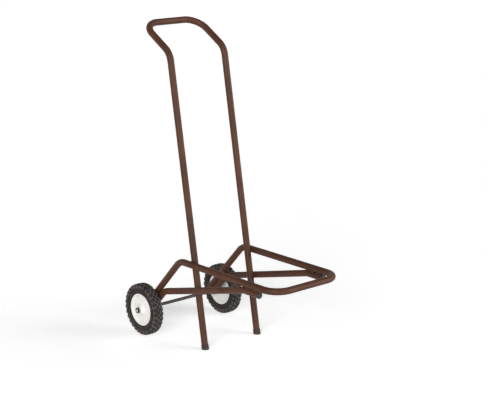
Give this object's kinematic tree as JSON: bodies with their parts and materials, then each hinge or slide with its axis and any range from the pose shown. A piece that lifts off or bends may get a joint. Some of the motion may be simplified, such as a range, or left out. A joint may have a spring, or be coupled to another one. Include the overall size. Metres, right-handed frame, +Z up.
{
  "type": "stacking chair trolley",
  "caption": "Hand trolley of bent steel tube: a tall leaning handle loop, a low fork that carries a stack of chairs, sloping braces and rubber-tyred wheels that spin on a fixed axle.",
  "frame": {"origin": "on the floor under the middle of the whole trolley", "axes": "+Z up, -Y the way the fork points, +Y towards the handle and the wheels, X along the axle with left at -X"},
  "size_m": [0.462, 0.8174, 1.1887],
  "materials": {
    "frame_paint": "dark brown stoved paint, satin",
    "tip_rubber": "matt black-brown moulded rubber",
    "plug_plastic": "matt black moulded plastic",
    "axle_steel": "drawn steel with a dark oxide skin",
    "zinc_steel": "dull zinc plate",
    "tyre_rubber": "grey-black moulded rubber, matt",
    "rim_enamel": "off-white stoved enamel, gloss",
    "bush_nylon": "natural moulded nylon"
  },
  "bodies": {
    "frame": {"handle_frame": "frame_paint", "fork_frame": "frame_paint", "left_brace": "frame_paint", "right_brace": "frame_paint", "left_foot_tip": "tip_rubber", "right_foot_tip": "tip_rubber", "left_tube_plugs": "plug_plastic", "right_tube_plugs": "plug_plastic", "axle": "axle_steel", "left_axle_spacer": "zinc_steel", "right_axle_spacer": "zinc_steel", "left_axle_washer": "zinc_steel", "right_axle_washer": "zinc_steel", "left_axle_nut": "axle_steel", "right_axle_nut": "axle_steel"},
    "left_wheel": {"left_tyre": "tyre_rubber", "left_outer_disc": "rim_enamel", "left_inner_disc": "rim_enamel", "left_hub_tube": "zinc_steel", "left_outer_bush": "bush_nylon", "left_inner_bush": "bush_nylon"},
    "right_wheel": {"right_tyre": "tyre_rubber", "right_outer_disc": "rim_enamel", "right_inner_disc": "rim_enamel", "right_hub_tube": "zinc_steel", "right_outer_bush": "bush_nylon", "right_inner_bush": "bush_nylon"}
  },
  "joints": [
    {"name": "left_wheel_spin", "type": "hinge", "parent": "frame", "child": "left_wheel", "pos_m": [-0.19425, 0.30875, 0.1], "axis": [1, 0, 0], "continuous": true},
    {"name": "right_wheel_spin", "type": "hinge", "parent": "frame", "child": "right_wheel", "pos_m": [0.19425, 0.30875, 0.1], "axis": [1, 0, 0], "continuous": true}
  ]
}
